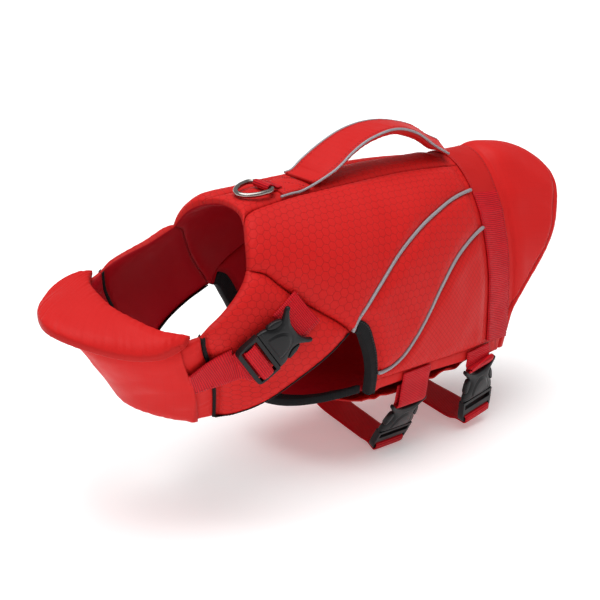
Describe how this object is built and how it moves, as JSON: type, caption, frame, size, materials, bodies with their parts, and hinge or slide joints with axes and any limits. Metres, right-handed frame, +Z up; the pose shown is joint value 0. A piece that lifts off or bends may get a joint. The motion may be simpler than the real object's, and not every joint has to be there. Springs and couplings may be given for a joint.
{
  "type": "dog life jacket",
  "caption": "Padded dog life jacket with a grab handle, leash ring, chin float, neck buckles and two belly straps.",
  "frame": {"origin": "the point of the dog's back that carries the jacket, at the underside of the spine foam", "axes": "+X towards the tail, +Z up, and -Y the side with the belly buckles"},
  "size_m": [0.6176, 0.2142, 0.3287],
  "materials": {
    "honeycomb_red": "coated cloth",
    "plain_red": "coated cloth",
    "webbing_red": "ribbed webbing",
    "tape_black": "matte",
    "reflective_grey": "satin",
    "plastic_charcoal": "satin",
    "gunmetal": "polished"
  },
  "bodies": {
    "root": {"side_upper_panel_near": "honeycomb_red", "side_middle_panel_near": "honeycomb_red", "side_lower_panel_near": "honeycomb_red", "side_hem_near": "plain_red", "side_upper_panel_far": "honeycomb_red", "side_middle_panel_far": "honeycomb_red", "side_lower_panel_far": "honeycomb_red", "side_hem_far": "plain_red", "spine_panel": "honeycomb_red", "tail_panel": "plain_red", "arm_panel_near": "honeycomb_red", "arm_panel_far": "honeycomb_red", "chest_pad": "plain_red", "chest_cover": "plain_red", "chin_flap": "plain_red", "leg_tape_near": "tape_black", "leg_tape_far": "tape_black", "arm_end_tape_near": "tape_black", "arm_low_tape_near": "tape_black", "arm_end_tape_far": "tape_black", "arm_low_tape_far": "tape_black", "belly_panel": "plain_red", "belly_front_tape": "tape_black", "belly_flap": "plain_red", "tail_strap": "webbing_red", "handle": "plain_red", "handle_piping_near": "reflective_grey", "handle_piping_far": "reflective_grey", "handle_patch": "plain_red", "ring": "gunmetal", "ring_tab": "webbing_red", "belly_buckle_front_socket": "plastic_charcoal", "belly_buckle_front_button_a": "plastic_charcoal", "belly_buckle_front_button_b": "plastic_charcoal", "belly_buckle_front_plug": "plastic_charcoal", "belly_strap_loop_front": "webbing_red", "belly_strap_front": "webbing_red", "belly_buckle_rear_socket": "plastic_charcoal", "belly_buckle_rear_button_a": "plastic_charcoal", "belly_buckle_rear_button_b": "plastic_charcoal", "belly_buckle_rear_plug": "plastic_charcoal", "belly_strap_loop_rear": "webbing_red", "belly_strap_rear": "webbing_red", "neck_buckle_near_socket": "plastic_charcoal", "neck_buckle_near_button_a": "plastic_charcoal", "neck_buckle_near_button_b": "plastic_charcoal", "neck_buckle_near_plug": "plastic_charcoal", "neck_strap_front_near": "webbing_red", "neck_strap_rear_near": "webbing_red", "neck_buckle_far_socket": "plastic_charcoal", "neck_buckle_far_button_a": "plastic_charcoal", "neck_buckle_far_button_b": "plastic_charcoal", "neck_buckle_far_plug": "plastic_charcoal", "neck_strap_front_far": "webbing_red", "neck_strap_rear_far": "webbing_red", "upper_piping_near": "reflective_grey", "lower_piping_near": "reflective_grey", "upper_piping_far": "reflective_grey", "lower_piping_far": "reflective_grey"}
  },
  "joints": []
}
